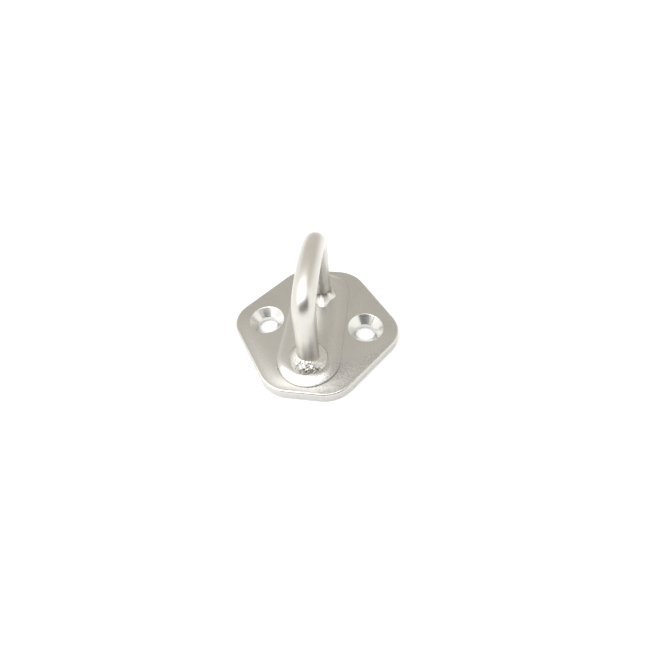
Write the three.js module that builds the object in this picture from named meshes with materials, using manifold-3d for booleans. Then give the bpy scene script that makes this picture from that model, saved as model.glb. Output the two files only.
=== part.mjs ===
// Welded pad eye: a stamped diamond base plate with two countersunk screw holes and a raised boss, a round
// bar bent into a squared eye, and the welds that hold the bar's two feet in the boss.
//
// Millimetres, +Z up. The origin is the centre of the plate's underside, the face that sits on the deck.
// The two screw holes lie on X, and the eye stands in the plane X = 0 with its feet on Y.

import * as THREE from "three";
import { mergeVertices } from "three/addons/utils/BufferGeometryUtils.js";
import Module from "manifold-3d";

// ---- Driving dimensions ----------------------------------------------------------------------------------

const plateThickness = 4.0;
const plateSideX = 26.6; // where the slanted edges would meet at each side, before rounding
const plateEndY = 23.5; // half the plate's depth, to its short front and rear edges
const plateEndX = 9.6; // half the length of a short edge, before rounding
const plateSideRadius = 8.5;
const plateEndRadius = 10.0;
const plateEdgeRound = 0.5;

const screwSpacing = 30.0;
const screwHoleRadius = 2.9; // clears an M5 screw
const screwHeadRadius = 5.2; // 90 degree countersink for an M5 flat head

const barRadius = 3.0;
const footY = 12.7; // where the middle of each leg meets the top of the boss
const legLean = THREE.MathUtils.degToRad(1.0); // the legs close in a little towards the top
const eyeCrownZ = 27.8; // middle of the bar at the top of the eye
const eyeCrownRadius = 30.0; // the top of the eye is slightly arched
const eyeCornerRadius = 5.0;

const bossRadius = 9.1; // of each round end, at the plate's surface
const bossHeight = 0.8;
const bossFlank = 3.4; // width of the boss's rounded flank, in plan
const recessRadius = 6.6; // of each round end of the pressed recess under the boss
const recessDepth = 1.2;
const recessDraft = 0.5;

const beadRadius = 5.5;
const beadHeight = 2.4;
const beadNeck = 0.35; // thickness of the bead where it thins out against the bar
const plugRadius = 4.6;
const plugSag = 0.6; // how far the weld stands down from the recess's ceiling, past its gap

const gap = 0.3; // between a piece and the neighbour that it is cut to clear
const cutOver = 1.0; // how far a cutting tool runs past the face it opens

// ---- Worked-out dimensions -------------------------------------------------------------------------------

const bossTop = plateThickness + bossHeight;
const barEndZ = recessDepth;
const barSides = 20;
const barSteps = 72;
const roundSides = 48;

// ---- Materials -------------------------------------------------------------------------------------------

const steel = (color, roughness) => new THREE.MeshStandardMaterial({ color, roughness, metalness: 1.0 });

// ---- Solids: joining and cutting -------------------------------------------------------------------------

const wasm = await Module();
wasm.setup();

/** The closed solid of a three.js geometry whose triangles share their corners. */
function solidOf(geometry) {
  const bare = geometry.clone();
  bare.deleteAttribute("normal");
  bare.deleteAttribute("uv");
  const merged = mergeVertices(bare, 1e-5);
  return new wasm.Manifold(
    new wasm.Mesh({
      numProp: 3,
      vertProperties: new Float32Array(merged.attributes.position.array),
      triVerts: new Uint32Array(merged.index.array),
    }),
  );
}

/** The three.js geometry of a solid. */
function geometryOf(solid) {
  const mesh = solid.getMesh();
  const geometry = new THREE.BufferGeometry();
  geometry.setAttribute("position", new THREE.BufferAttribute(new Float32Array(mesh.vertProperties), 3));
  geometry.setIndex(new THREE.BufferAttribute(new Uint32Array(mesh.triVerts), 1));
  geometry.computeVertexNormals();
  return geometry;
}

// ---- Outlines --------------------------------------------------------------------------------------------

/** A closed outline of straight edges whose corners, given counter-clockwise, are rounded. */
function roundedOutline(corners) {
  const shape = new THREE.Shape();
  corners.forEach(({ at, radius }, i) => {
    const before = corners.at(i - 1).at;
    const after = corners[(i + 1) % corners.length].at;
    const back = before.clone().sub(at).normalize();
    const ahead = after.clone().sub(at).normalize();
    const halfAngle = Math.acos(back.dot(ahead)) / 2;
    const start = at.clone().addScaledVector(back, radius / Math.tan(halfAngle));
    const toCentre = back.clone().add(ahead).normalize();
    const centre = at.clone().addScaledVector(toCentre, radius / Math.sin(halfAngle));
    const from = start.clone().sub(centre).angle();
    if (i === 0) shape.moveTo(start.x, start.y);
    shape.absarc(centre.x, centre.y, radius, from, from + Math.PI - 2 * halfAngle, false);
  });
  shape.closePath();
  return shape;
}

/** An outline with two straight sides along Y and a half-round end of the given radius round each foot. */
function obroundOutline(radius) {
  const shape = new THREE.Shape();
  shape.absarc(0, footY, radius, 0, Math.PI, false);
  shape.absarc(0, -footY, radius, Math.PI, 2 * Math.PI, false);
  return shape;
}

/** The six corners of the diamond plate, counter-clockwise from its +X side. */
function plateCorners() {
  const side = (x) => ({ at: new THREE.Vector2(x, 0), radius: plateSideRadius });
  const end = (x, y) => ({ at: new THREE.Vector2(x, y), radius: plateEndRadius });
  return [
    side(plateSideX),
    end(plateEndX, plateEndY),
    end(-plateEndX, plateEndY),
    side(-plateSideX),
    end(-plateEndX, -plateEndY),
    end(plateEndX, -plateEndY),
  ];
}

// ---- The eye's centre line -------------------------------------------------------------------------------

/** Middle of a leg at height z, as a positive Y. */
const legY = (z) => footY - (z - bossTop) * Math.tan(legLean);

/** The centre of the rounded corner that touches a leg and, from inside, the arched top. */
function cornerCentre() {
  const up = new THREE.Vector2(-Math.sin(legLean), Math.cos(legLean));
  const inward = new THREE.Vector2(-Math.cos(legLean), -Math.sin(legLean));
  const crownCentre = new THREE.Vector2(0, eyeCrownZ - eyeCrownRadius);
  const start = new THREE.Vector2(footY, bossTop).addScaledVector(inward, eyeCornerRadius);
  const away = start.clone().sub(crownCentre);
  const reach = eyeCrownRadius - eyeCornerRadius;
  const along = away.dot(up);
  const rise = -along + Math.sqrt(along * along - away.lengthSq() + reach * reach);
  return start.addScaledVector(up, rise);
}

/** The bar's centre line in the plane X = 0: leg, corner, arched top, corner, leg. */
class EyeLine extends THREE.Curve {
  constructor() {
    super();
    const corner = cornerCentre();
    const crownCentreZ = eyeCrownZ - eyeCrownRadius;
    const topAngle = Math.atan2(corner.y - crownCentreZ, corner.x);
    const legTopY = corner.x + eyeCornerRadius * Math.cos(legLean);
    const path = new THREE.Path();
    path.moveTo(-legY(barEndZ), barEndZ);
    path.lineTo(-legTopY, corner.y + eyeCornerRadius * Math.sin(legLean));
    path.absarc(-corner.x, corner.y, eyeCornerRadius, Math.PI - legLean, Math.PI - topAngle, true);
    path.absarc(0, crownCentreZ, eyeCrownRadius, Math.PI - topAngle, topAngle, true);
    path.absarc(corner.x, corner.y, eyeCornerRadius, topAngle, legLean, true);
    path.lineTo(legY(barEndZ), barEndZ);
    this.path = path;
  }

  getPoint(t, target = new THREE.Vector3()) {
    const at = this.path.getPoint(t);
    return target.set(0, at.x, at.y);
  }
}

// ---- Pieces ----------------------------------------------------------------------------------------------

/** The room that a leg of the bar needs in the pieces round it; side is -1 at the front, 1 at the rear. */
function legClearance(side) {
  const length = bossTop + beadHeight + 2 * cutOver;
  const geometry = new THREE.CylinderGeometry(barRadius + gap, barRadius + gap, length, roundSides);
  geometry.rotateX(Math.PI / 2 + side * legLean);
  const middleZ = length / 2 - cutOver;
  geometry.translate(0, side * legY(middleZ), middleZ);
  return solidOf(geometry);
}

/** A screw hole with its countersink, as the tool that cuts it. */
function screwCutter(x) {
  const headDepth = screwHeadRadius - screwHoleRadius;
  const profile = [
    [0, -cutOver],
    [screwHoleRadius, -cutOver],
    [screwHoleRadius, plateThickness - headDepth],
    [screwHeadRadius + cutOver, plateThickness + cutOver],
    [0, plateThickness + cutOver],
  ].map(([r, z]) => new THREE.Vector2(r, z));
  const geometry = new THREE.LatheGeometry(profile, roundSides);
  geometry.rotateX(Math.PI / 2);
  geometry.translate(x, 0, 0);
  return solidOf(geometry);
}

/** The stamped plate, its raised boss, the recess under it, and the holes for screws and bar. */
function basePlate() {
  const slab = new THREE.ExtrudeGeometry(roundedOutline(plateCorners()), {
    depth: plateThickness - 2 * plateEdgeRound,
    bevelThickness: plateEdgeRound,
    bevelSize: plateEdgeRound,
    bevelOffset: -plateEdgeRound,
    bevelSegments: 3,
    curveSegments: 6,
  });
  slab.translate(0, 0, plateEdgeRound);

  const boss = new THREE.ExtrudeGeometry(obroundOutline(bossRadius), {
    depth: plateThickness / 2,
    bevelThickness: bossHeight,
    bevelSize: bossFlank,
    bevelOffset: -bossFlank,
    bevelSegments: 4,
    curveSegments: 16,
  });
  boss.translate(0, 0, plateThickness / 2);

  const recess = new THREE.ExtrudeGeometry(obroundOutline(recessRadius), {
    depth: cutOver,
    bevelThickness: recessDepth,
    bevelSize: recessDraft,
    bevelOffset: -recessDraft,
    bevelSegments: 2,
    curveSegments: 12,
  });
  recess.translate(0, 0, -cutOver);

  return [-1, 1].reduce(
    (solid, side) => solid.subtract(screwCutter((side * screwSpacing) / 2)).subtract(legClearance(side)),
    solidOf(slab).add(solidOf(boss)).subtract(solidOf(recess)),
  );
}

/** The round bar, bent into the eye. */
function eyeBar() {
  const section = new THREE.Shape();
  section.absarc(0, 0, barRadius, 0, 2 * Math.PI, false);
  return solidOf(
    new THREE.ExtrudeGeometry(section, {
      extrudePath: new EyeLine(),
      steps: barSteps,
      curveSegments: barSides / 2,
    }),
  );
}

/** The fillet weld round a foot: a ring that thins out up the bar. */
function weldBead(side) {
  const steps = 5;
  const profile = [new THREE.Vector2(0, 0)];
  for (let i = 0; i <= steps; i += 1) {
    const turn = (i / steps) * (Math.PI / 2);
    const neck = barRadius + beadNeck;
    const r = neck + (beadRadius - neck) * Math.cos(turn);
    profile.push(new THREE.Vector2(r, beadHeight * Math.sin(turn)));
  }
  profile.push(new THREE.Vector2(0, beadHeight));
  const geometry = new THREE.LatheGeometry(profile, roundSides);
  geometry.rotateX(Math.PI / 2);
  geometry.translate(0, side * footY, bossTop);
  return solidOf(geometry).subtract(legClearance(side));
}

/** The weld that closes a bar end in the recess: a low dome that stays clear of the deck. */
function plugWeld(side) {
  const ceiling = recessDepth - gap;
  const steps = 5;
  const profile = [new THREE.Vector2(0, ceiling - plugSag)];
  for (let i = 1; i <= steps; i += 1) {
    const turn = (i / steps) * (Math.PI / 2);
    profile.push(new THREE.Vector2(plugRadius * Math.sin(turn), ceiling - plugSag * Math.cos(turn)));
  }
  profile.push(new THREE.Vector2(0, ceiling));
  const geometry = new THREE.LatheGeometry(profile, roundSides);
  geometry.rotateX(Math.PI / 2);
  geometry.translate(0, side * legY(ceiling), 0);
  return solidOf(geometry);
}

// ---- The part --------------------------------------------------------------------------------------------

const padEye = new THREE.Group();
padEye.name = "pad_eye";

/** Adds one named piece to the part. */
function addPiece(name, solid, material) {
  const mesh = new THREE.Mesh(geometryOf(solid), material);
  mesh.name = name;
  padEye.add(mesh);
}

addPiece("base_plate", basePlate(), steel("#b0aaa0", 0.42));
addPiece("eye_bar", eyeBar(), steel("#c4bdb0", 0.34));
for (const [side, end] of [
  [-1, "front"],
  [1, "rear"],
]) {
  addPiece(`${end}_weld_bead`, weldBead(side), steel("#bdb9b0", 0.38));
  addPiece(`${end}_plug_weld`, plugWeld(side), steel("#a39c90", 0.5));
}

export default padEye;
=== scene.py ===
"""Looks of a welded stainless steel pad eye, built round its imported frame.

A stamped diamond plate carries a round bar bent into a squared eye. The bar's feet stand in the plate's
raised boss, each in its weld bead, and are closed from below by a plug weld in the recess under the boss. All
shapes are worked out in millimetres, in the frame's own axes, and become metres when they go into a mesh.
"""

import logging
import math
from dataclasses import dataclass, field, replace
from enum import Enum
from typing import Any

import bmesh
import bpy
import numpy as np
from mathutils import Matrix, Quaternion, Vector


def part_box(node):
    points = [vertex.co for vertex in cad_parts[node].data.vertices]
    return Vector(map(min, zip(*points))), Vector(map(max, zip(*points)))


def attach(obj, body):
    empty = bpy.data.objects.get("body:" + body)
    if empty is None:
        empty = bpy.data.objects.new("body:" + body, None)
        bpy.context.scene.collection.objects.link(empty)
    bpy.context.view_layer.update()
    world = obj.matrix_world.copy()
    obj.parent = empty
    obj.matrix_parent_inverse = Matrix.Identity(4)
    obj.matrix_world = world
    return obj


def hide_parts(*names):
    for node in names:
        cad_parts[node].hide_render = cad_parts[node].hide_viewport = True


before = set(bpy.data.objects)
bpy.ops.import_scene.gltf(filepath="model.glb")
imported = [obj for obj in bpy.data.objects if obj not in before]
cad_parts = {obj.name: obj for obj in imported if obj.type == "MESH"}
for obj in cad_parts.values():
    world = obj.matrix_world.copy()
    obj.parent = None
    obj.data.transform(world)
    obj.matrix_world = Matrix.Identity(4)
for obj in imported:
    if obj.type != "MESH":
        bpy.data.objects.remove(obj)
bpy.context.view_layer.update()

log = logging.getLogger("pad_eye")

Array = np.ndarray
Colour = tuple[float, float, float]
Range = tuple[float, float]
Ring = dict[str, Array]

MM = 0.001
BODY = "root"
TAU = 2.0 * math.pi


# ---- Grids of points and the meshes made from them -------------------------------------------------------


@dataclass
class Patch:
    """A grid of surface points, and the three marks that a finish reads at each of them.

    Attributes:
        points: an array (rows, columns, 3), in millimetres.
        worn: 0 to 1, how much handling has polished the metal there.
        turned: 0 to 1, how far a cutting tool has turned the metal; on weld beads, a painted dark reflection.
        darkened: 0 to 1, heat tint there, and shade painted in creases and up one leg.
    """

    points: Array
    worn: Array | float = 0.0
    turned: Array | float = 0.0
    darkened: Array | float = 0.0

    def marks(self) -> Array:
        """Gathers the marks of every point.

        Returns:
            An array (rows * columns, 3): worn, turned and grimed.
        """
        shape = self.points.shape[:2]
        layers = [np.broadcast_to(m, shape).ravel() for m in (self.worn, self.turned, self.darkened)]
        return np.stack(layers, axis=1)

    def quads(self, first: int) -> Array:
        """The grid's faces, as corner numbers that start at first.

        Args:
            first: the number of this patch's first point in the mesh.

        Returns:
            An array (faces, 4): each cell's corners, round the cell.
        """
        rows, columns = self.points.shape[:2]
        number = first + np.arange(rows * columns).reshape(rows, columns)
        corners = [number[:-1, :-1], number[:-1, 1:], number[1:, 1:], number[1:, :-1]]
        return np.stack([c.ravel() for c in corners], axis=1)


def closed(loop: Array) -> Array:
    """A loop of points with its first point repeated at its end."""
    return np.concatenate([loop, loop[:1]])


def at_height(plan: Array, z: Array | float) -> Array:
    """Points of a plan, an array (..., 2), lifted to the height z."""
    height = np.broadcast_to(z, plan.shape[:-1])
    return np.concatenate([plan, height[..., None]], axis=-1)


def round_points(centre: tuple[float, float], radius: float | Array, angles: Array) -> Array:
    """Points of a circle in plan: centre + radius (cos angle, sin angle)."""
    ring = np.stack([np.cos(angles), np.sin(angles)], axis=-1)
    return np.asarray(centre) + np.asarray(radius)[..., None] * ring


def angles_from(centre: tuple[float, float], plan: Array) -> Array:
    """The directions of points seen from a centre, unwrapped so that they run on without a jump."""
    away = plan - np.asarray(centre)
    return np.unwrap(np.arctan2(away[:, 1], away[:, 0]))


def loft(inner: Array, outer: Array, shares: Array) -> Array:
    """Straight lines between two curves: P(u, v) = inner(u) + v (outer(u) - inner(u)), a row for each v."""
    return inner[None] + shares[:, None, None] * (outer - inner)[None]


def smooth_step(u: Array) -> Array:
    """A soft step from 0 to 1: u^2 (3 - 2 u)."""
    return u * u * (3 - 2 * u)


def make_mesh(name: str, patches: list[Patch], weld: float = 1e-5) -> bpy.types.Object:
    """Joins patches into one closed, smooth-shaded mesh at the origin.

    Args:
        name: the piece's name.
        patches: its grids, whose borders coincide where they meet.
        weld: how near two points are to become one, in millimetres.

    Returns:
        The new object, with a point attribute called marks.
    """
    counts = np.cumsum([0] + [p.points.shape[0] * p.points.shape[1] for p in patches])
    vertices = np.concatenate([p.points.reshape(-1, 3) for p in patches]) * MM
    faces = np.concatenate([p.quads(int(first)) for p, first in zip(patches, counts)])
    marks = np.concatenate([p.marks() for p in patches])
    mesh = bpy.data.meshes.new(name)
    mesh.from_pydata(vertices.tolist(), [], faces.tolist())
    mesh.attributes.new("marks", "FLOAT_VECTOR", "POINT").data.foreach_set("vector", marks.ravel())
    shell = bmesh.new()
    shell.from_mesh(mesh)
    bmesh.ops.remove_doubles(shell, verts=shell.verts, dist=weld * MM)
    bmesh.ops.dissolve_degenerate(shell, edges=shell.edges, dist=weld * MM / 10)
    bmesh.ops.recalc_face_normals(shell, faces=shell.faces)
    open_edges = sum(1 for edge in shell.edges if not edge.is_manifold)
    shell.to_mesh(mesh)
    shell.free()
    mesh.shade_smooth()
    piece = bpy.data.objects.new(name, mesh)
    bpy.context.scene.collection.objects.link(piece)
    log.info("%s: %d faces, %d open edges", name, len(mesh.polygons), open_edges)
    return piece


# ---- Outlines --------------------------------------------------------------------------------------------


@dataclass(frozen=True)
class Corner:
    """A corner of an outline: where its edges would meet, and the radius that rounds it."""

    x: float
    y: float
    radius: float


class RoundedOutline:
    """Straight edges joined by arcs, as a function of the distance walked round them.

    The corners run counter-clockwise. The walk starts in the middle of the first corner's arc.
    """

    def __init__(self, corners: list[Corner]) -> None:
        """Works out each arc's centre, first angle and turn, and how far round it starts.

        Args:
            corners: the outline's corners, counter-clockwise.
        """
        at = np.array([(c.x, c.y) for c in corners])
        self.radius = np.array([c.radius for c in corners])
        ahead = np.roll(at, -1, axis=0) - at
        side = np.linalg.norm(ahead, axis=1)
        ahead = ahead / side[:, None]
        back = -np.roll(ahead, 1, axis=0)
        half = np.arccos(np.sum(back * ahead, axis=1)) / 2
        trim = self.radius / np.tan(half)
        inward = back + ahead
        inward = inward / np.linalg.norm(inward, axis=1)[:, None]
        self.centre = at + inward * (self.radius / np.sin(half))[:, None]
        start = at + back * trim[:, None] - self.centre
        self.first_angle = np.arctan2(start[:, 1], start[:, 0])
        self.turn = math.pi - 2 * half
        self.ahead = ahead
        self.leave = at + ahead * trim[:, None]
        arc = self.radius * self.turn
        straight = side - trim - np.roll(trim, -1)
        self.arc_start = np.concatenate([[0.0], np.cumsum(arc + straight)[:-1]])
        self.arc_end = self.arc_start + arc
        self.length = float(np.sum(arc + straight))
        self.origin = float(arc[0] / 2)

    def at(self, distance: Array) -> tuple[Array, Array]:
        """Points on the outline, and the outward directions there.

        Args:
            distance: how far round each point is, from the start of the walk.

        Returns:
            Two arrays (n, 2): the points, and unit vectors square to the outline.
        """
        walk = np.mod(distance + self.origin, self.length)
        i = np.searchsorted(self.arc_start, walk, side="right") - 1
        angle = self.first_angle[i] + (walk - self.arc_start[i]) / self.radius[i]
        arc_normal = np.stack([np.cos(angle), np.sin(angle)], axis=1)
        arc_point = self.centre[i] + self.radius[i, None] * arc_normal
        edge_point = self.leave[i] + (walk - self.arc_end[i])[:, None] * self.ahead[i]
        edge_normal = np.stack([self.ahead[i, 1], -self.ahead[i, 0]], axis=1)
        pick = (walk <= self.arc_end[i])[:, None]
        return np.where(pick, arc_point, edge_point), np.where(pick, arc_normal, edge_normal)

    def distance_at_y(self, y: float) -> float:
        """How far round from its start the outline first reaches the height y."""
        walk = np.linspace(0.0, self.length / 4, 4001)
        return float(np.interp(y, self.at(walk)[0][:, 1], walk))


# ---- Shader nodes as sums --------------------------------------------------------------------------------


class Wire:
    """A node's output that takes part in sums: each operator adds a Math node."""

    def __init__(self, sheet: "NodeSheet", socket: bpy.types.NodeSocket) -> None:
        """Keeps the sheet that new nodes go on, and the output."""
        self.sheet = sheet
        self.socket = socket

    def _math(self, operation: str, *terms: Any) -> "Wire":
        """A Math node on up to three terms, each a wire or a number."""
        return self.sheet.node("ShaderNodeMath", {"operation": operation}, dict(enumerate(terms)))

    def __add__(self, other: Any) -> "Wire":
        """self + other."""
        return self._math("ADD", self, other)

    __radd__ = __add__

    def __mul__(self, other: Any) -> "Wire":
        """self * other."""
        return self._math("MULTIPLY", self, other)

    __rmul__ = __mul__

    def __sub__(self, other: Any) -> "Wire":
        """self - other."""
        return self._math("SUBTRACT", self, other)

    def __rsub__(self, other: Any) -> "Wire":
        """other - self."""
        return self._math("SUBTRACT", other, self)

    def ramp(self, low: float, high: float) -> "Wire":
        """A smooth step from 0 at low to 1 at high.

        Args:
            low: the value up to which the result is 0.
            high: the value from which the result is 1.

        Returns:
            The wire that carries the step.
        """
        settings = {"interpolation_type": "SMOOTHSTEP", "clamp": True}
        values = {"Value": self, "From Min": low, "From Max": high}
        return self.sheet.node("ShaderNodeMapRange", settings, values, "Result")


class NodeSheet:
    """The node tree of a material or a world, with short ways to put nodes on it."""

    def __init__(self, owner: bpy.types.Material | bpy.types.World) -> None:
        """Empties the owner's node tree.

        Args:
            owner: the new material or world.
        """
        owner.use_nodes = True
        self.owner = owner
        self.tree = owner.node_tree
        self.tree.nodes.clear()

    def add(self, kind: str, settings: dict[str, Any], inputs: dict[str | int, Any]) -> bpy.types.Node:
        """Adds one node.

        Args:
            kind: the node's type.
            settings: its own settings, set before its sockets.
            inputs: wires or values for its input sockets, by name or number.

        Returns:
            The new node.
        """
        new = self.tree.nodes.new(kind)
        for key, value in settings.items():
            setattr(new, key, value)
        for key, value in inputs.items():
            if isinstance(value, Wire):
                self.tree.links.new(value.socket, new.inputs[key])
            else:
                new.inputs[key].default_value = value
        return new

    def node(
        self, kind: str, settings: dict[str, Any], inputs: dict[str | int, Any], output: str | int = 0
    ) -> Wire:
        """Adds one node, as add does, and gives the wire that leaves one of its outputs."""
        return Wire(self, self.add(kind, settings, inputs).outputs[output])

    def place(self) -> Wire:
        """Object coordinates, in metres."""
        return self.node("ShaderNodeTexCoord", {}, {}, "Object")

    def attribute(self, name: str) -> Wire:
        """A vector attribute of the mesh."""
        return self.node("ShaderNodeAttribute", {"attribute_name": name}, {}, "Vector")

    def parts(self, vector: Wire) -> list[Wire]:
        """The X, Y and Z of a vector."""
        return [Wire(self, out) for out in self.add("ShaderNodeSeparateXYZ", {}, {0: vector}).outputs]

    def stretch(self, vector: Wire, x: float, y: float, z: float) -> Wire:
        """A vector scaled along each axis."""
        values = {"Vector": vector, "Scale": (x, y, z)}
        return self.node("ShaderNodeMapping", {"vector_type": "POINT"}, values)

    def noise(self, vector: Wire, scale: float, detail: float = 3.0, roughness: float = 0.55) -> Wire:
        """Soft noise from 0 to 1, with features of about 1 / scale."""
        values = {"Vector": vector, "Scale": scale, "Detail": detail, "Roughness": roughness}
        return self.node("ShaderNodeTexNoise", {}, values, "Fac")

    def blend(self, factor: Any, low: Any, high: Any) -> Wire:
        """A colour between two others."""
        values = {"Factor": factor, 6: low, 7: high}
        return self.node("ShaderNodeMix", {"data_type": "RGBA"}, values, 2)

    def bump(self, height: Wire, strength: float, depth: float) -> Wire:
        """A normal bent by a height whose whole range is depth, in metres."""
        values = {"Height": height, "Strength": strength, "Distance": depth}
        return self.node("ShaderNodeBump", {}, values)

    def surface(
        self, colour: Wire, roughness: Wire | float, normal: Wire | None = None, metallic: float = 1.0
    ) -> bpy.types.Material:
        """Finishes the sheet with a Principled shader.

        Args:
            colour: its base colour.
            roughness: its roughness.
            normal: its normal, where a bump bends it.
            metallic: 1 for metal, 0 for paint or cloth.

        Returns:
            The finished material.
        """
        values = {"Base Color": colour, "Roughness": roughness, "Metallic": metallic}
        if normal is not None:
            values["Normal"] = normal
        shader = self.node("ShaderNodeBsdfPrincipled", {}, values)
        self.add("ShaderNodeOutputMaterial", {}, {"Surface": shader})
        return self.owner


def rgba(colour: Colour) -> tuple[float, float, float, float]:
    """A colour with full alpha."""
    return (*colour, 1.0)


# ---- Finishes --------------------------------------------------------------------------------------------


@dataclass(frozen=True)
class PlateFinish:
    """Satin stainless plate: rolled grain along the eye, a fine tumbled texture, turned countersinks.

    Grey granular frost fades in over the three frost ranges, in metres: of 0.5 X - Y, of X and of Z.
    """

    colour: Colour = (0.575, 0.568, 0.55)
    dark: Colour = (0.485, 0.474, 0.45)
    polished: Colour = (0.66, 0.652, 0.63)
    frost: Colour = (0.34, 0.34, 0.335)
    turned_colour: Colour = (0.70, 0.70, 0.68)
    crease_dark: Colour = (0.10, 0.09, 0.08)
    roughness: float = 0.27
    relief: float = 0.000014
    frost_corner: Range = (0.0150, 0.0205)
    frost_x: Range = (-0.002, 0.005)
    frost_z: Range = (0.0030, 0.0039)

    def material(self) -> bpy.types.Material:
        """Builds the finish's node material.

        Returns:
            The new material.
        """
        sheet = NodeSheet(bpy.data.materials.new("plate steel"))
        place = sheet.place()
        x, y, z = sheet.parts(place)
        worn, turned, darkened = sheet.parts(sheet.attribute("marks"))
        cloud = sheet.noise(place, 110.0)
        streak = sheet.noise(sheet.stretch(place, 1.0, 0.06, 0.3), 2600.0, 4.0, 0.6)
        grain = sheet.noise(place, 5200.0, 2.0, 0.6)
        speck = sheet.noise(place, 2600.0, roughness=0.7)
        rings = sheet.noise(sheet.stretch(place, 0.0, 0.0, 1.0), 14000.0, 2.0)
        frosted = (0.5 * x - y).ramp(*self.frost_corner) * x.ramp(*self.frost_x) * z.ramp(*self.frost_z)
        shade = 0.45 * cloud.ramp(0.32, 0.68) + 0.25 * streak.ramp(0.3, 0.7)
        colour = sheet.blend(shade, rgba(self.colour), rgba(self.dark))
        colour = sheet.blend(worn * 0.7, colour, rgba(self.polished))
        colour = sheet.blend(0.85 * frosted * speck.ramp(0.40, 0.62), colour, rgba(self.frost))
        colour = sheet.blend(turned, colour, rgba(self.turned_colour))
        # Shade painted in the boss's crease.
        colour = sheet.blend(darkened * 0.95, colour, rgba(self.crease_dark))
        rough = self.roughness + 0.12 * (cloud - 0.5) + 0.08 * (streak - 0.5) - 0.03 * worn - 0.03 * turned
        flat = 1.0 - turned
        height = flat * (0.32 * streak + 0.2 * grain + 2.6 * frosted * speck) + 0.35 * turned * rings
        return sheet.surface(colour, rough, sheet.bump(height, 0.5, self.relief))


@dataclass(frozen=True)
class BarFinish:
    """Satin stainless bar: drawn lines along its length under a light polish.

    It reads the third mark as the tint that heat leaves, and as shade painted up one side of the front leg.
    """

    colour: Colour = (0.668, 0.655, 0.622)
    dark: Colour = (0.58, 0.565, 0.53)
    tint_and_shade_colour: Colour = (0.33, 0.29, 0.23)
    roughness: float = 0.33
    relief: float = 0.00001

    def material(self) -> bpy.types.Material:
        """Builds the finish's node material.

        Returns:
            The new material.
        """
        sheet = NodeSheet(bpy.data.materials.new("bar steel"))
        run = sheet.attribute("run")
        cloud = sheet.noise(run, 0.16)
        lines = sheet.noise(sheet.stretch(run, 0.05, 1.0, 1.0), 3.4, 4.0, 0.6)
        grain = sheet.noise(run, 6.0, 2.0)
        tint_and_shade = sheet.parts(sheet.attribute("marks"))[2] * cloud.ramp(0.25, 0.65)
        shade = 0.4 * cloud.ramp(0.3, 0.7) + 0.2 * lines.ramp(0.3, 0.7)
        colour = sheet.blend(shade, rgba(self.colour), rgba(self.dark))
        # Heat tint at the feet, and shade painted up the +X side of the front leg.
        colour = sheet.blend(tint_and_shade, colour, rgba(self.tint_and_shade_colour))
        rough = self.roughness + 0.10 * (cloud - 0.5) + 0.06 * (lines - 0.5) + 0.15 * tint_and_shade
        height = 0.6 * lines + 0.4 * grain
        return sheet.surface(colour, rough, sheet.bump(height, 0.4, self.relief))


@dataclass(frozen=True)
class WeldFinish:
    """Cleaned weld metal: coarse, pocked, bright on its high spots.

    It reads the turned mark as a dark reflection painted in patches, and the third mark as painted shade
    at its toe and neck.
    """

    colour: Colour = (0.66, 0.65, 0.62)
    dark: Colour = (0.40, 0.38, 0.35)
    crease_dark: Colour = (0.08, 0.07, 0.06)
    dark_reflection: Colour = (0.16, 0.15, 0.135)
    roughness: float = 0.22
    relief: float = 0.00003

    def material(self) -> bpy.types.Material:
        """Builds the finish's node material.

        Returns:
            The new material.
        """
        sheet = NodeSheet(bpy.data.materials.new("weld metal"))
        place = sheet.place()
        worn, reflection_share, darkened = sheet.parts(sheet.attribute("marks"))
        lumps = sheet.noise(place, 900.0, 4.0, 0.65)
        dark_patches = sheet.noise(place, 3000.0, roughness=0.6)
        colour = sheet.blend(dark_patches.ramp(0.5, 0.75) * 0.6, rgba(self.colour), rgba(self.dark))
        # A dark reflection painted in patches low on the bead's front.
        colour = sheet.blend(reflection_share * lumps.ramp(0.32, 0.52), colour, rgba(self.dark_reflection))
        # Shade painted along the bead's toe and at its neck.
        colour = sheet.blend(darkened * 0.8, colour, rgba(self.crease_dark))
        rough = self.roughness + 0.25 * (lumps - 0.5) + 0.08 * worn
        height = (1.0 - 0.85 * worn) * (0.6 * lumps + 0.4 * dark_patches)
        return sheet.surface(colour, rough, sheet.bump(height, 0.5, self.relief))


@dataclass(frozen=True)
class MattFinish:
    """Matt paint or cloth, whose tone drifts softly between two colours."""

    name: str
    first: Colour
    second: Colour
    roughness: float
    scale: float

    def material(self) -> bpy.types.Material:
        """Builds the finish's node material.

        Returns:
            The new material.
        """
        sheet = NodeSheet(bpy.data.materials.new(self.name))
        tone = sheet.noise(sheet.place(), self.scale, 2.0)
        colour = sheet.blend(tone, rgba(self.first), rgba(self.second))
        return sheet.surface(colour, self.roughness, metallic=0.0)


# ---- Sub-assemblies --------------------------------------------------------------------------------------


class End(Enum):
    """The two ends of the eye, each with the sign of its Y."""

    FRONT = -1
    REAR = 1

    def node(self, piece: str) -> str:
        """The name of this end's frame node."""
        return f"{self.name.lower()}_{piece}"


@dataclass
class Foot:
    """Where the bar's legs stand, and how they lean."""

    y: float = 12.7
    top: float = 4.8
    lean: float = math.radians(1.0)

    def leg_y(self, z: Array | float) -> Array | float:
        """The middle of a leg at height z, as a positive Y: the legs close in as they rise."""
        return self.y - (z - self.top) * math.tan(self.lean)


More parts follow.
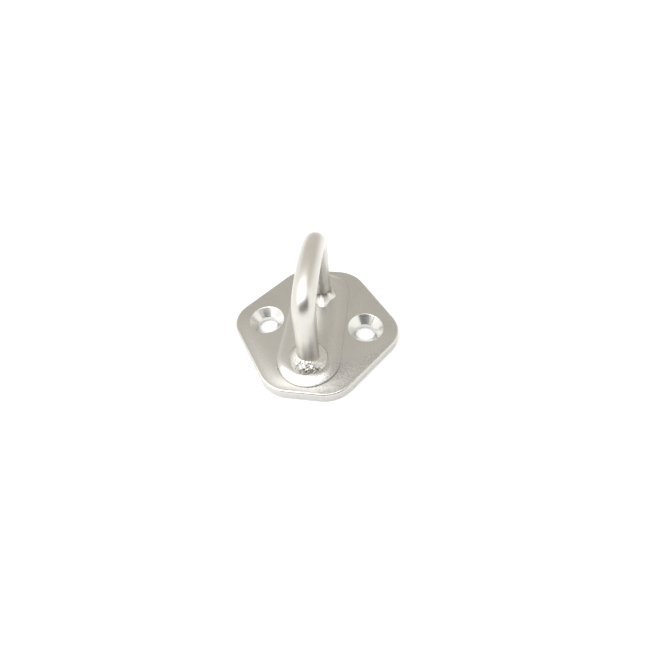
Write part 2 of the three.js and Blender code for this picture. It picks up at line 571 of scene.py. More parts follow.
@dataclass
class BasePlate:
    """The stamped plate, with its screw holes, raised boss and pressed recess."""

    foot: Foot
    thickness: float = 4.0
    side_x: float = 26.6
    end_x: float = 9.6
    side_radius: float = 8.5
    end_radius: float = 10.0
    top_edge: float = 0.5
    under_edge: float = 0.35
    screw_x: float = 15.0
    screw_radius: float = 2.9
    head_radius: float = 5.2
    lip: float = 0.18
    boss_radius: float = 9.1
    boss_flank: float = 3.4
    boss_height: float = 0.8
    recess_radius: float = 6.6
    recess_depth: float = 1.2
    recess_draft: float = 0.5
    leg_hole: float = 3.05
    hole_break: float = 0.7
    droop: float = 0.40
    droop_width: float = 3.3
    droop_blend: float = 1.6
    # Shade painted in the boss's crease: where it lies, how wide and dark it is, and how it grows in front.
    crease_at: float = 0.03
    crease_width: float = 0.07
    crease_shade: float = 0.16
    front_shade: float = 0.80
    front_reach: float = 2.5
    front_fade: float = 0.9
    top_polish: float = 0.6
    side_steps: int = 160
    end_steps: int = 140
    boss_steps: int = 60
    finish: PlateFinish = field(default_factory=PlateFinish)

    def corners(self) -> list[Corner]:
        """The plate's corners, whose depth is the frame's own.

        Returns:
            Six corners, from the +X side counter-clockwise.
        """
        half_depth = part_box("base_plate")[1].y / MM
        side = [Corner(s * self.side_x, 0.0, self.side_radius) for s in (1, -1)]
        end = [
            Corner(sx * self.end_x, sy * half_depth, self.end_radius)
            for sx, sy in ((1, 1), (-1, 1), (-1, -1), (1, -1))
        ]
        return [side[0], end[0], end[1], side[1], end[2], end[3]]

    def pressed(self, patch: Patch) -> Patch:
        """Lets the plate's upper face fall away towards its edge, as the press leaves it.

        The distance d to the edge is a soft minimum of the distances to the six straight edges, and the face
        falls by droop exp(-(d / droop_width)^2), less towards the underside, which stays flat.

        Args:
            patch: any part of the flat plate.

        Returns:
            The same patch, pressed.
        """
        corner = np.array([(c.x, c.y) for c in self.corners()])
        ahead = np.roll(corner, -1, axis=0) - corner
        outward = np.stack([ahead[:, 1], -ahead[:, 0]], axis=1) / np.linalg.norm(ahead, axis=1)[:, None]
        reach = np.sum(corner * outward, axis=1) - patch.points[..., :2] @ outward.T
        soft = self.droop_blend
        away = np.clip(-soft * np.log(np.sum(np.exp(-reach / soft), axis=-1)), 0.0, None)
        fall = self.droop * np.exp(-((away / self.droop_width) ** 2))
        share = np.clip(patch.points[..., 2] / self.thickness, 0.0, 1.0) ** 2
        points = patch.points.copy()
        points[..., 2] -= fall * share
        return replace(patch, points=points)

    def spans(self, outline: RoundedOutline) -> Ring:
        """Cuts the outline into four stretches.

        Two go round the screw holes, between the lines that run out from the boss's corners, and two go
        round the boss's ends.

        Args:
            outline: the plate's outline.

        Returns:
            Distances round the outline, for the right, rear, left and front.
        """
        cut = outline.distance_at_y(self.foot.y)
        half = outline.length / 2
        return {
            "right": np.linspace(-cut, cut, self.side_steps + 1),
            "rear": np.linspace(cut, half - cut, self.end_steps + 1),
            "left": np.linspace(half - cut, half + cut, self.side_steps + 1),
            "front": np.linspace(half + cut, outline.length - cut, self.end_steps + 1),
        }

    def inset(self, outline: RoundedOutline, step: float) -> Ring:
        """Moves the outline's four stretches inwards.

        Args:
            outline: the plate's outline.
            step: how far inwards.

        Returns:
            The four stretches, in plan.
        """
        moved = {}
        for name, distance in self.spans(outline).items():
            point, normal = outline.at(distance)
            moved[name] = point - step * normal
        return moved

    def end_angles(self, plan: Array, end: End) -> Array:
        """Fits the directions from a foot to the outline round it to exactly half a turn.

        Args:
            plan: the outline's stretch round that end.
            end: which end of the eye.

        Returns:
            An angle for each point.
        """
        angle = angles_from((0.0, end.value * self.foot.y), plan)
        share = (angle - angle[0]) / (angle[-1] - angle[0])
        start = 0.0 if end is End.REAR else math.pi
        return start + math.pi * share

    def boss_ring(self, edge: Ring, radius: float) -> Ring:
        """Draws an obround round both feet, in four stretches that match the outline's.

        Args:
            edge: the outline's four stretches.
            radius: the radius of its ends.

        Returns:
            Its four stretches, in plan.
        """
        y = np.linspace(-self.foot.y, self.foot.y, self.boss_steps + 1)
        return {
            "right": np.stack([np.full_like(y, radius), y], axis=1),
            "rear": round_points((0.0, self.foot.y), radius, self.end_angles(edge["rear"], End.REAR)),
            "left": np.stack([np.full_like(y, -radius), -y], axis=1),
            "front": round_points((0.0, -self.foot.y), radius, self.end_angles(edge["front"], End.FRONT)),
        }

    @staticmethod
    def whole(ring: Ring) -> Array:
        """The four stretches of a ring as one closed loop."""
        names = ("right", "rear", "left", "front")
        return closed(np.concatenate([ring[name][:-1] for name in names]))

    def flat_shares(self) -> Array:
        """Rows of a flat patch, close together at its two borders so that its shading stays flat."""
        inner = np.linspace(0.05, 0.95, 16)
        return np.concatenate([[0.0, 0.012], inner, [0.988, 1.0]])

    def side_loop(self, edge: Ring, boss: Ring, side: str) -> Array:
        """Draws the border of the flat ground round one screw hole, as a closed loop.

        It follows the outline, comes in along a straight line to the boss, follows the boss back, and goes
        out along another straight line.

        Args:
            edge: the outline's four stretches.
            boss: the boss's four stretches.
            side: right or left.

        Returns:
            The loop, in plan.
        """
        shares = self.flat_shares()
        out, near = edge[side], boss[side]
        inward = loft(near[-1:], out[-1:], shares)[::-1, 0]
        outward = loft(near[:1], out[:1], shares)[:, 0]
        return np.concatenate([out, inward[1:], near[::-1][1:], outward[1:]])

    def ground(self, edge: Ring, boss: Ring, z: float, hole: float) -> list[Patch]:
        """Lays the flat metal between the outline, the boss and the screw holes.

        Args:
            edge: the outline's four stretches.
            boss: the boss's four stretches.
            z: the face's height.
            hole: the radius that the screw holes have there.

        Returns:
            A patch for each stretch.
        """
        shares = self.flat_shares()
        patches = [
            Patch(at_height(loft(boss[name], edge[name], shares), z)) for name in ("rear", "front")
        ]
        for side, sign in (("right", 1), ("left", -1)):
            border = self.side_loop(edge, boss, side)
            centre = (sign * self.screw_x, 0.0)
            rim = round_points(centre, hole, angles_from(centre, border))
            patches.append(Patch(at_height(loft(rim, border, shares), z)))
        return patches

    def screw_wall(self, top: Array, under: Array, sign: int) -> Patch:
        """Turns a countersunk hole: a profile of radius and height carried round the screw's axis.

        The profile is a rounded lip, the 90 degree cone, a softened corner, the straight hole and its broken
        lower edge. Each row's angles turn from the upper ground's to the lower ground's.

        Args:
            top: the upper ground's border round the hole.
            under: the lower ground's.
            sign: 1 for the hole on the +X side, -1 for the other.

        Returns:
            The hole's wall.
        """
        centre = (sign * self.screw_x, 0.0)
        z_top, head = self.thickness, self.head_radius
        cone_foot = z_top - (head - self.screw_radius)
        turn = np.linspace(0.0, math.pi / 4, 5)
        lip_r = head + self.lip * (math.tan(math.pi / 8) - np.sin(turn))
        lip_z = z_top - self.lip * (1 - np.cos(turn))
        cone_r = np.linspace(lip_r[-1], self.screw_radius + 0.08, 14)[1:]
        cone_z = z_top - (head - cone_r)
        bend_r = np.array([self.screw_radius + 0.03, self.screw_radius])
        bend_z = np.array([cone_foot + 0.02, cone_foot - 0.06])
        wall_z = np.linspace(cone_foot - 0.2, self.under_edge + 0.05, 6)
        wall_r = np.full_like(wall_z, self.screw_radius)
        fall = np.linspace(0.0, math.pi / 2, 5)
        foot_r = self.screw_radius + self.under_edge * (1 - np.cos(fall)) * self.hole_break
        foot_z = self.under_edge * (1 - np.sin(fall))
        r = np.concatenate([lip_r, cone_r, bend_r, wall_r, foot_r])
        z = np.concatenate([lip_z, cone_z, bend_z, wall_z, foot_z])
        start, end = angles_from(centre, top), angles_from(centre, under)
        share = np.linspace(0.0, 1.0, len(r))[:, None]
        angles = start + share * (end - start)
        plan = round_points(centre, np.broadcast_to(r[:, None], angles.shape), angles)
        points = at_height(plan, np.broadcast_to(z[:, None], angles.shape))
        worn = np.zeros(len(r))
        worn[: len(lip_r)] = 1.0
        turned = np.zeros(len(r))
        turned[2 : len(lip_r) + len(cone_r) + len(bend_r) + len(wall_r)] = 1.0
        return Patch(points, worn=worn[:, None], turned=turned[:, None])

    def rim(self, outline: RoundedOutline) -> Patch:
        """Carries the edge's section round the plate: a rounded corner, the sheared wall, a smaller corner.

        Args:
            outline: the plate's outline.

        Returns:
            The plate's edge.
        """
        distance = np.concatenate([d[:-1] for d in self.spans(outline).values()])
        point, normal = (closed(a) for a in outline.at(distance))
        turn = np.linspace(0.0, math.pi / 2, 8)
        closing, opening = 1 - np.sin(turn), 1 - np.cos(turn)
        wall = np.linspace(self.thickness - self.top_edge, self.under_edge, 7)[1:-1]
        inset = np.concatenate([self.top_edge * closing, 0 * wall, self.under_edge * opening])
        height = np.concatenate([self.thickness - self.top_edge * opening, wall, self.under_edge * closing])
        plan = point[None] - inset[:, None, None] * normal[None]
        worn = np.zeros(len(inset))
        worn[: len(turn)] = 1.0
        return Patch(at_height(plan, height[:, None]), worn=worn[:, None])

    def boss(self, edge: Ring) -> Patch:
        """Raises the boss's flank, whose height goes as 1 - (1 - u)^2 across it.

        It leaves the plate at a crisp crease and meets the top flat. Shade is painted in the crease as
        exp(-((u - crease_at) / crease_width)^2), darker in front, where a soft step in Y adds to it.

        Args:
            edge: the outline's four stretches.

        Returns:
            The flank.
        """
        u = np.concatenate([[0.0, 0.02, 0.05, 0.08, 0.11], np.linspace(0.15, 1.0, 14)])
        radius = self.boss_radius - self.boss_flank * u
        height = self.thickness + self.boss_height * (1 - (1 - u) ** 2)
        rings = np.stack([self.whole(self.boss_ring(edge, r)) for r in radius])
        crease = np.exp(-(((u - self.crease_at) / self.crease_width) ** 2))[:, None]
        front = 1 / (1 + np.exp((rings[..., 1] + self.foot.y + self.front_reach) / self.front_fade))
        # Shade painted in the crease, darker in front.
        crease_dark = crease * (self.crease_shade + self.front_shade * front)
        polish = self.top_polish * smooth_step(u)[:, None]
        return Patch(at_height(rings, height[:, None]), worn=polish, darkened=crease_dark)

    def recess(self, edge: Ring) -> Patch:
        """Raises the recess's wall to its ceiling, as a smooth step of the height across its draft.

        Args:
            edge: the outline's four stretches.

        Returns:
            The wall.
        """
        u = np.linspace(0.0, 1.0, 12)
        radius = self.recess_radius - self.recess_draft * u
        rings = np.stack([self.whole(self.boss_ring(edge, r)) for r in radius])
        return Patch(at_height(rings, (self.recess_depth * smooth_step(u))[:, None]))

    def leg_loop(self, ring: Ring, end: End) -> Array:
        """Draws the border of the flat metal round one foot: half of an obround, closed across its middle.

        Args:
            ring: the obround's four stretches.
            end: which foot.

        Returns:
            The loop, in plan.
        """
        half = self.boss_steps // 2
        arc = ring["rear"] if end is End.REAR else ring["front"]
        after = ring["left"] if end is End.REAR else ring["right"]
        before = ring["right"] if end is End.REAR else ring["left"]
        across = loft(after[half : half + 1], before[half : half + 1], np.linspace(0.0, 1.0, 25))[:, 0]
        return np.concatenate([arc, after[1 : half + 1], across[1:], before[half + 1 :]])

    def crown(self, ring: Ring, z: float, end: End) -> tuple[Patch, Array]:
        """Lays the flat metal round one foot.

        Args:
            ring: the four stretches of the obround that bounds it.
            z: its height.
            end: which foot.

        Returns:
            The metal, and the loop of its leg hole.
        """
        border = self.leg_loop(ring, end)
        centre = (0.0, end.value * self.foot.leg_y(z))
        hole = round_points(centre, self.leg_hole, angles_from(centre, border))
        polish = self.top_polish if z > self.thickness else 0.0
        metal = Patch(at_height(loft(hole, border, self.flat_shares()), z), worn=polish)
        return metal, at_height(hole, z)

    def build(self) -> bpy.types.Object:
        """Builds and dresses the plate.

        Returns:
            The stamped plate.
        """
        outline = RoundedOutline(self.corners())
        top_edge = self.inset(outline, self.top_edge)
        under_edge = self.inset(outline, self.under_edge)
        boss_foot = self.boss_ring(top_edge, self.boss_radius)
        boss_top = self.boss_ring(top_edge, self.boss_radius - self.boss_flank)
        recess_foot = self.boss_ring(under_edge, self.recess_radius)
        recess_top = self.boss_ring(under_edge, self.recess_radius - self.recess_draft)
        lip = self.head_radius + self.lip * math.tan(math.pi / 8)
        foot = self.screw_radius + self.hole_break * self.under_edge
        patches = self.ground(top_edge, boss_foot, self.thickness, lip)
        patches += self.ground(under_edge, recess_foot, 0.0, foot)
        patches += [self.rim(outline), self.boss(top_edge), self.recess(under_edge)]
        for side, sign in (("right", 1), ("left", -1)):
            top = self.side_loop(top_edge, boss_foot, side)
            under = self.side_loop(under_edge, recess_foot, side)
            patches.append(self.screw_wall(top, under, sign))
        for end in End:
            upper, upper_hole = self.crown(boss_top, self.thickness + self.boss_height, end)
            lower, lower_hole = self.crown(recess_top, self.recess_depth, end)
            wall = Patch(loft(lower_hole, upper_hole, np.linspace(0.0, 1.0, 6)))
            patches += [upper, lower, wall]
        plate = make_mesh("stamped_plate", [self.pressed(patch) for patch in patches])
        plate.data.materials.append(self.finish.material())
        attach(plate, BODY)
        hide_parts("base_plate")
        return plate


@dataclass
class EyeBar:
    """The round bar, bent into a squared eye."""

    foot: Foot
    radius: float = 3.0
    crown_z: float = 27.95
    crown_radius: float = 30.0
    corner_radius: float = 5.0
    end_z: float = 1.2
    ease: float = 0.5
    chamfer: float = 0.4
    tilt: float = -0.16
    twist: float = -0.30
    heat: float = 0.75
    heat_height: float = 4.2
    # Shade painted up the +X side of the front leg, with some heat tint in it.
    side_shade: float = 0.9
    side_shade_height: float = 10.0
    side_shade_width: float = 0.10
    around: int = 96
    along: int = 420
    finish: BarFinish = field(default_factory=BarFinish)

    def corner_centre(self) -> tuple[float, float]:
        """Finds the centre of the rounded corner that touches a leg and the arched top.

        Returns:
            Its Y and Z.
        """
        lean = self.foot.lean
        up = np.array([-math.sin(lean), math.cos(lean)])
        inward = np.array([-math.cos(lean), -math.sin(lean)])
        start = np.array([self.foot.y, self.foot.top]) + self.corner_radius * inward
        away = start - np.array([0.0, self.crown_z - self.crown_radius])
        reach = self.crown_radius - self.corner_radius
        along = float(away @ up)
        rise = -along + math.sqrt(along * along - float(away @ away) + reach * reach)
        y, z = start + rise * up
        return float(y), float(z)

    def centre_line(self) -> tuple[Array, Array, Array]:
        """The bar's centre line from its front end to its rear end.

        The direction of travel turns at a steady rate in the crown and in each corner, and not at all in the
        legs. The rate is eased over a short length at each change, and the line is its running sum.

        Returns:
            Distances along the line, points (n, 2) in Y and Z, and the angle of travel at each.
        """
        corner_y, corner_z = self.corner_centre()
        crown_centre = self.crown_z - self.crown_radius
        top_angle = math.atan2(corner_z - crown_centre, corner_y)
        half_crown = self.crown_radius * (math.pi / 2 - top_angle)
        corner = self.corner_radius * (top_angle - self.foot.lean)
        leg_top = corner_z + self.corner_radius * math.sin(self.foot.lean)
        leg = (leg_top - self.end_z) / math.cos(self.foot.lean)
        half = half_crown + corner + leg
        s = np.linspace(-half, half, 4001)
        step = s[1] - s[0]
        away = np.abs(s)
        rate = np.where(away < half_crown, 1 / self.crown_radius, 1 / self.corner_radius)
        rate = np.where(away > half_crown + corner, 0.0, rate)
        reach = int(3 * self.ease / step)
        kernel = np.exp(-0.5 * (np.arange(-reach, reach + 1) * step / self.ease) ** 2)
        rate = np.convolve(rate, kernel / kernel.sum(), mode="same")
        turned = np.cumsum(rate) * step
        angle = turned[len(s) // 2] - turned
        flow = np.stack([np.cos(angle), np.sin(angle)], axis=1)
        line = np.cumsum((flow + np.roll(flow, 1, axis=0)) / 2, axis=0) * step
        line -= line[len(s) // 2] - np.array([0.0, self.crown_z])
        pick = np.linspace(0, len(s) - 1, self.along).astype(int)
        return s[pick] + half, line[pick], angle[pick]

    def build(self) -> bpy.types.Object:
        """Builds and dresses the bar: a circle carried along the centre line, closed at both ends.

        Each point also moves sideways by (tilt + twist y / foot.y) times its share of the crown's height, as
        the bar was set a little askew before it was welded. The heat of welding tints its feet, and shade
        with some heat tint in it is painted up the +X side of its front leg. Both fade as exp(-(climb /
        height)^2).

        Returns:
            The bent bar.
        """
        s, line, angle = self.centre_line()
        phi = np.linspace(0.0, TAU, self.around + 1)
        fill = np.clip(np.minimum(s, s[-1] - s) / self.chamfer, 0.0, 1.0)
        size = np.pad(1 - (1 - fill) * self.chamfer / self.radius, 1)
        index = np.pad(np.arange(len(s)), 1, mode="edge")
        centre, turn = line[index], angle[index]
        out = self.radius * size[:, None] * np.cos(phi)[None]
        side = self.radius * size[:, None] * np.sin(phi)[None]
        y = centre[:, :1] - np.sin(turn)[:, None] * out
        z = centre[:, 1:] + np.cos(turn)[:, None] * out
        lift = (centre[:, 1:] - self.foot.top) / (self.crown_z - self.foot.top)
        side = side + np.clip(lift, 0.0, None) * (self.tilt + self.twist * centre[:, :1] / self.foot.y)
        points = np.stack([side, y, z], axis=-1)
        climb = np.clip(centre[:, 1] - self.foot.top, 0.0, None)
        heat = self.heat * np.exp(-((climb / self.heat_height) ** 2))[:, None]
        # Shade painted up the +X side of the front leg, with some heat tint in it.
        up_front = (np.exp(-((climb / self.side_shade_height) ** 2)) * (centre[:, 0] < 0))[:, None]
        side_shade = self.side_shade * up_front * np.exp(-(((1 - np.sin(phi)) / self.side_shade_width) ** 2))[None]
        bar = make_mesh("bent_bar", [Patch(points, darkened=np.maximum(heat, side_shade))])
        self.store_run(bar, line, angle, s)
        bar.data.materials.append(self.finish.material())
        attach(bar, BODY)
        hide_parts("eye_bar")
        return bar

    def store_run(self, bar: bpy.types.Object, line: Array, angle: Array, s: Array) -> None:
        """Stores where each point lay before the bar was bent: along it, out from it, and across it.

        A point's nearest place on the centre line gives the first, and its offset there gives the others.

        Args:
            bar: the bent bar.
            line: points of its centre line, in Y and Z.
            angle: the angle of travel at each.
            s: how far along the line each is.
        """
        count = len(bar.data.vertices)
        place = np.empty(count * 3)
        bar.data.vertices.foreach_get("co", place)
        place = place.reshape(-1, 3) / MM
        gap = place[:, None, 1:] - line[None]
        near = np.argmin(np.sum(gap * gap, axis=2), axis=1)
        offset = place[:, 1:] - line[near]
        out = -np.sin(angle[near]) * offset[:, 0] + np.cos(angle[near]) * offset[:, 1]
        run = np.stack([s[near], out, place[:, 0]], axis=1)
        bar.data.attributes.new("run", "FLOAT_VECTOR", "POINT").data.foreach_set("vector", run.ravel())


@dataclass(frozen=True)
class Lobe:
    """A swelling of a bead towards one direction round the foot.

    Attributes:
        toward: its direction, in degrees from +X.
        spread: its half width, in degrees.
        reach: how much further the bead's toe reaches there.
        rise: how much higher the bead climbs there.
    """

    toward: float
    spread: float
    reach: float = 0.0
    rise: float = 0.0

    def share(self, angle: Array) -> Array:
        """How strongly the lobe acts at each angle: exp(-(distance round / spread)^2)."""
        away = np.angle(np.exp(1j * (angle - math.radians(self.toward))))
        return np.exp(-((away / math.radians(self.spread)) ** 2))


@dataclass
class WeldBead:
    """The fillet weld round one foot of the bar.

    Its lobes make it lopsided, its coarse lobe is where its scales are strongest and where a dark reflection
    is painted low down, and one lobe sets the side on which the shade painted along its toe is darkest.
    """

    foot: Foot
    end: End
    seed: int
    toe_radius: float
    height: float
    lobes: tuple[Lobe, ...]
    coarse: Lobe
    belly: float = 0.40
    wander: float = 0.10
    neck: float = 2.9
    back: float = 0.3
    bury: float = 0.05
    around: int = 540
    across: int = 64
    scales: int = 150
    steepness: float = 0.38
    push: float = 0.56
    calm: float = 0.12
    relief: float = 1.0
    # A dark reflection painted low on the coarse lobe, and shade painted at the neck and along the toe,
    # darkest on one side.
    reflection_share: float = 0.0
    neck_shade_width: float = 0.06
    toe_shade_width: float = 0.07
    toe_shade_side: Lobe = Lobe(50.0, 50.0)
    reflection_band: Range = (0.22, 0.24)
    finish: WeldFinish = field(default_factory=WeldFinish)

    def wobble(self, angle: Array, waves: int, rng: np.random.Generator) -> Array:
        """Draws a loop of soft noise: a sum of cosines with whole numbers of waves and random phases.

        Args:
            angle: directions round the foot.
            waves: how many cosines there are.
            rng: where the random numbers come from.

        Returns:
            The noise at each angle, of about unit size.
        """
        number = np.arange(1, waves + 1)
        phase = rng.uniform(0.0, TAU, waves)
        weight = rng.uniform(0.4, 1.0, waves) / np.sqrt(number)
        waves_there = weight * np.cos(number * angle[:, None] + phase)
        return waves_there.sum(axis=1) / np.sqrt(np.sum(weight**2))

    def skin(self, theta: Array, t: Array, rng: np.random.Generator) -> tuple[Array, Array]:
        """Draws the bead's skin from its toe on the boss to its neck on the bar.

        Each section is the quadratic curve (1 - t)^2 toe + 2 t (1 - t) belly + t^2 neck, whose toe, belly and
        neck wander round the foot with the lobes.

        Args:
            theta: directions round the foot.
            t: how far from toe to neck each section is.
            rng: where the random numbers come from.

        Returns:
            Radii and heights over the boss, each (sections, around).
        """
        toe = self.toe_radius + self.wander * self.wobble(theta, 7, rng)
        top = self.height + self.wander * self.wobble(theta, 6, rng)
        for lobe in self.lobes:
            toe = toe + lobe.reach * lobe.share(theta)
            top = top + lobe.rise * lobe.share(theta)
        full = self.belly + 0.5 * self.wander * self.wobble(theta, 5, rng)
        a, b, c = ((1 - t) ** 2)[:, None], (2 * t * (1 - t))[:, None], (t**2)[:, None]
        r = a * toe + b * (self.neck + full * (toe - self.neck)) + c * self.neck
        return r, b * full * top + c * top

    def press_scales(
        self, r: Array, z: Array, theta: Array, rng: np.random.Generator
    ) -> tuple[Array, Array]:
        """Breaks the skin into small tilted scales.

        Each point takes its nearest scale's random slope, times its distance from that scale's middle, less a
        little for the crease between two scales.

        Args:
            r: the skin's radii.
            z: its heights over the boss.
            theta: directions round the foot.
            rng: where the random numbers come from.

        Returns:
            Radii and heights of the broken skin.
        """
        amount = self.calm + (1 - self.calm) * self.coarse.share(theta)
        skin = np.stack([r * np.cos(theta), r * np.sin(theta), z], axis=-1)
        flat = skin.reshape(-1, 3)
        middle = flat[rng.integers(0, len(flat), self.scales)]
        gap = flat[:, None] - middle[None]
        away = np.sum(gap * gap, axis=2)
        near = np.argmin(away, axis=1)
        slope = rng.normal(0.0, self.steepness, (self.scales, 3))
        own = np.take_along_axis(gap, near[:, None, None], axis=1)[:, 0]
        tilt = np.sum(own * slope[near], axis=1)
        crease = 0.5 * np.min(away, axis=1)
        ease = np.sin(np.linspace(0.0, math.pi, len(r)))[:, None] ** 0.5
        push = self.push * self.relief * (tilt - crease).reshape(r.shape) * amount * ease
        return r + push, z + push

    def build(self) -> bpy.types.Object:
        """Builds and dresses the bead: its skin, and a hidden back that closes it inside bar and boss.

        Returns:
            The bead.
        """
        rng = np.random.default_rng(self.seed)
        theta = np.linspace(0.0, TAU, self.around + 1)
        t = np.linspace(0.0, 1.0, self.across)
        r, z = self.skin(theta, t, rng)
        r, z = self.press_scales(r, z, theta, rng)
        r[:, -1], z[:, -1] = r[:, 0], z[:, 0]
        inner = np.full_like(r[:1], self.neck - self.back)
        under = np.full_like(r[:1], -self.bury)
        radius = np.concatenate([r[:1], r, inner, inner, r[:1]])
        height = self.foot.top + np.concatenate([under, z, z[-1:], under, under])
        y = radius * np.sin(theta) + self.end.value * self.foot.leg_y(height)
        points = np.stack([radius * np.cos(theta), y, height], axis=-1)
        rise = np.concatenate([[0.0], t, [1.0, 0.0, 0.0]])
        # Shade painted along the toe, darkest on one side, and at the neck.
        toe = np.exp(-((rise / self.toe_shade_width) ** 2))[:, None] * (0.4 + 0.6 * self.toe_shade_side.share(theta))
        toe_and_neck_shade = toe + np.exp(-(((1 - rise) / self.neck_shade_width) ** 2))[:, None]
        # A dark reflection painted in a band low on the coarse lobe.
        middle, width = self.reflection_band
        low = np.exp(-(((rise - middle) / width) ** 2))
        dark_patches = self.reflection_share * low[:, None] * self.coarse.share(theta)[None]
        smooth = 1 - np.clip(self.relief * self.coarse.share(theta), 0.0, 1.0)[None]
        bead = make_mesh(self.end.node("bead"), [Patch(points, smooth, dark_patches, toe_and_neck_shade)])
        bead.data.materials.append(self.finish.material())
        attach(bead, BODY)
        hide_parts(self.end.node("weld_bead"))
        return bead


@dataclass
class PlugWeld:
    """The weld that closes one bar end in the recess."""

    foot: Foot
    end: End
    seed: int
    radius: float = 4.6
    ceiling: float = 1.2
    sag: float = 0.85
    bury: float = 0.02
    around: int = 160
    across: int = 40
    finish: WeldFinish = field(default_factory=WeldFinish)

    def build(self) -> bpy.types.Object:
        """Builds and dresses the weld: a dome of height sag (1 - u^2)^0.6 with rings left by the torch.

        Returns:
            The plug weld.
        """
        rng = np.random.default_rng(self.seed)
        theta = np.linspace(0.0, TAU, self.around + 1)
        u = np.linspace(0.0, 1.0, self.across)
        phase = rng.uniform(0.0, TAU, 3)
        edge = self.radius * (1 + 0.02 * np.cos(3 * theta + phase[0]) + 0.015 * np.cos(7 * theta + phase[1]))
        r = u[:, None] * edge
        swirl = 0.04 * np.sin(9 * math.pi * u[:, None] + theta + phase[2]) * (1 - u[:, None] ** 4)
        fall = self.sag * (1 - u[:, None] ** 2) ** 0.6 + swirl
        middle = self.end.value * self.foot.leg_y(self.ceiling)
        z = self.ceiling - np.where(u[:, None] < 1.0, fall, 0.0)
        skin = np.stack([r * np.cos(theta), middle + r * np.sin(theta), z], axis=-1)
        skin[0, :, 2] = skin[0, 0, 2]
        lid = skin[-1:].copy()
        lid[..., 2] = self.ceiling + self.bury
        hub = np.broadcast_to(np.array([0.0, middle, self.ceiling + self.bury]), lid.shape)
        plug = make_mesh(self.end.node("plug"), [Patch(np.concatenate([skin, lid, hub]))])
        plug.data.materials.append(self.finish.material())
        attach(plug, BODY)
        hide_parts(self.end.node("plug_weld"))
        return plug


def front_bead(foot: Foot) -> WeldBead:
    """Shapes the front bead: high in front and on the left, low and smooth on the right.

    Args:
        foot: where the bar stands.

    Returns:
        The bead, not yet built.
    """
    lobes = (Lobe(-100.0, 60.0, 0.40, 1.0), Lobe(165.0, 50.0, rise=0.9), Lobe(25.0, 62.0, -0.2, -1.1))
    # The front bead's dark reflection is painted low on its front, on the coarse lobe.
    sizes = {"toe_radius": 5.45, "height": 1.7, "belly": 0.60, "reflection_share": 0.95}
    return WeldBead(foot, End.FRONT, seed=10, lobes=lobes, coarse=Lobe(-80.0, 42.0), **sizes)


def rear_bead(foot: Foot) -> WeldBead:
    """Shapes the rear bead: three swellings towards the inside of the eye, and little on its far side.

    Args:
        foot: where the bar stands.

    Returns:
        The bead, not yet built.
    """
    lobes = (Lobe(-77.0, 24.0, 3.2, 0.9), Lobe(-25.0, 24.0, 1.2, 0.8), Lobe(-140.0, 28.0, 1.4, 0.3))
    # A wide band of shade is painted at the rear bead's neck.
    sizes = {"toe_radius": 3.9, "height": 0.7, "belly": 0.66, "relief": 0.15, "neck_shade_width": 0.3}
    return WeldBead(foot, End.REAR, seed=12, lobes=lobes, coarse=Lobe(-70.0, 60.0), **sizes)


# ---- Studio ----------------------------------------------------------------------------------------------


@dataclass(frozen=True)
class Softbox:
    """A rectangular light that faces the object, with one pair of edges square to Y.

    Attributes:
        name: the light's name.
        place: its middle, in millimetres.
        size: its sides, in millimetres.
        radiance: how bright it looks.
    """

    name: str
    place: tuple[float, float, float]
    size: tuple[float, float]
    radiance: float

    def build(self) -> bpy.types.Object:
        """Hangs the light, in metres, with power = radiance x pi x area.

        Returns:
            The light.
        """
        lamp = bpy.data.lights.new(self.name, "AREA")
        lamp.shape = "RECTANGLE"
        lamp.size, lamp.size_y = self.size[0] * MM, self.size[1] * MM
        lamp.energy = self.radiance * math.pi * lamp.size * lamp.size_y
        light = bpy.data.objects.new(self.name, lamp)
        light.location = Vector(self.place) * MM
        back = light.location.normalized()
        across = Vector((0.0, 1.0, 0.0)).cross(back).normalized()
        light.rotation_euler = Matrix((across, back.cross(across), back)).transposed().to_euler()
        bpy.context.scene.collection.objects.link(light)
        return light


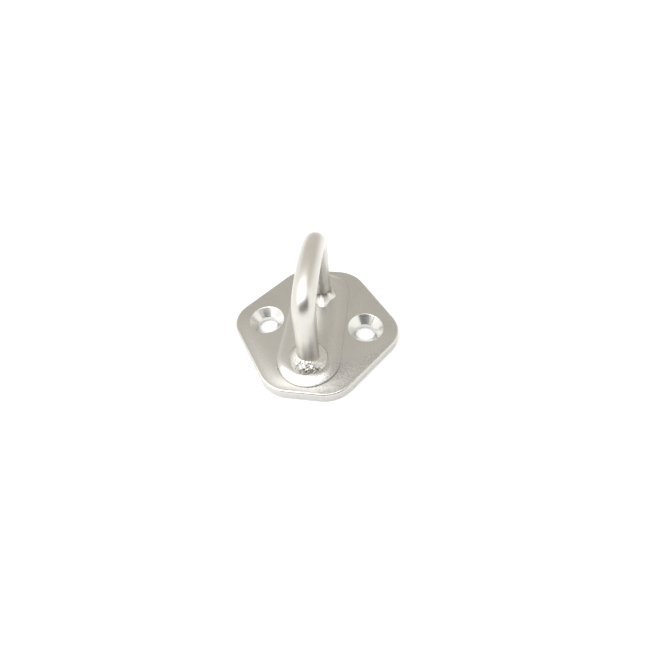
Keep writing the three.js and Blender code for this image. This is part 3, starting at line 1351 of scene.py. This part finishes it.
@dataclass
class Studio:
    """The floor, the lights and the camera."""

    azimuth: float = 10.52
    elevation: float = 51.15
    roll: float = -3.69
    distance: float = 114.7
    aim: tuple[float, float, float] = (2.49, 1.90, 1.14)
    lens: float = 20.61
    sensor: float = 36.0
    floor_size: float = 6000.0
    floor_z: float = -0.02
    floor_paint: MattFinish = MattFinish("floor paint", (0.86, 0.865, 0.88), (0.85, 0.855, 0.87), 0.9, 8.0)
    dim_sky: Colour = (0.78, 0.74, 0.675)
    bright_sky: Colour = (1.31, 1.30, 1.255)
    dim_direction: tuple[float, float, float] = (0.02, 0.75, 0.66)
    dim_edge: Range = (0.46, 0.86)
    flag_centre: tuple[float, float, float] = (2.0, -98.0, 69.0)
    flag_along: tuple[float, float, float] = (70.0, 34.0, 0.0)
    flag_size: tuple[float, float] = (186.0, 78.0)
    flag_cloth: MattFinish = MattFinish("flag cloth", (0.10, 0.10, 0.105), (0.14, 0.14, 0.145), 0.95, 900.0)
    softbox: Softbox = Softbox("overhead", (-118.0, -118.0, 460.0), (600.0, 556.0), 1.85)

    def build_floor(self) -> None:
        """A pale floor, just under the plate."""
        half = self.floor_size / 2
        corners = np.array([(-half, -half), (half, -half), (-half, half), (half, half)])
        floor = make_mesh("floor", [Patch(at_height(corners.reshape(2, 2, 2), self.floor_z))])
        floor.data.materials.append(self.floor_paint.material())

    def build_sky(self) -> None:
        """Light from all round: bright, but for a dim patch high behind the object."""
        world = bpy.data.worlds.new("studio")
        bpy.context.scene.world = world
        sheet = NodeSheet(world)
        direction = sheet.node("ShaderNodeTexCoord", {}, {}, "Generated")
        middle = Vector(self.dim_direction).normalized()
        vectors = {0: direction, 1: middle}
        towards = sheet.node("ShaderNodeVectorMath", {"operation": "DOT_PRODUCT"}, vectors, "Value")
        colour = sheet.blend(towards.ramp(*self.dim_edge), rgba(self.bright_sky), rgba(self.dim_sky))
        light = sheet.node("ShaderNodeBackground", {}, {"Color": colour})
        sheet.add("ShaderNodeOutputWorld", {}, {"Surface": light})

    def build_flag(self) -> None:
        """A dark card beside the camera that only reflections see."""
        centre = np.array(self.flag_centre)
        along = np.array(self.flag_along) / np.linalg.norm(self.flag_along)
        across = np.cross(along, -centre / np.linalg.norm(centre))
        across = across / np.linalg.norm(across)
        u, v = np.meshgrid([-1.0, 1.0], [-1.0, 1.0])
        half_width, half_height = self.flag_size[0] / 2, self.flag_size[1] / 2
        points = centre + half_width * u[..., None] * along + half_height * v[..., None] * across
        flag = make_mesh("dark_flag", [Patch(points)])
        flag.data.materials.append(self.flag_cloth.material())
        flag.visible_camera = flag.visible_diffuse = flag.visible_shadow = flag.visible_transmission = False

    def build_camera(self) -> None:
        """The camera, by its direction from the object, its distance and its roll."""
        turn, rise = math.radians(self.azimuth), math.radians(self.elevation)
        back = Vector((math.sin(turn) * math.cos(rise), -math.cos(turn) * math.cos(rise), math.sin(rise)))
        lens = bpy.data.cameras.new("camera")
        lens.lens = self.lens
        lens.sensor_width = self.sensor
        lens.clip_start = 0.001
        camera = bpy.data.objects.new("camera", lens)
        aim = Vector(self.aim) * MM
        camera.location = aim + back * self.distance * MM
        facing = (-back).to_track_quat("-Z", "Y")
        camera.rotation_euler = (facing @ Quaternion((0.0, 0.0, 1.0), math.radians(self.roll))).to_euler()
        bpy.context.scene.collection.objects.link(camera)
        bpy.context.scene.camera = camera

    def build(self) -> None:
        """Sets up the whole studio."""
        bpy.context.scene.view_settings.view_transform = "Standard"
        self.build_floor()
        self.build_sky()
        self.build_flag()
        self.softbox.build()
        self.build_camera()


def main() -> None:
    """Builds the studio and the pad eye."""
    logging.basicConfig(level=logging.INFO, format="%(message)s")
    foot = Foot()
    Studio().build()
    pieces = [
        BasePlate(foot).build(),
        EyeBar(foot).build(),
        front_bead(foot).build(),
        rear_bead(foot).build(),
        *(PlugWeld(foot, end, seed=31 + end.value).build() for end in End),
    ]
    for piece in pieces:
        log.info("%s rides on %s", piece.name, BODY)


if __name__ == "__main__":
    main()
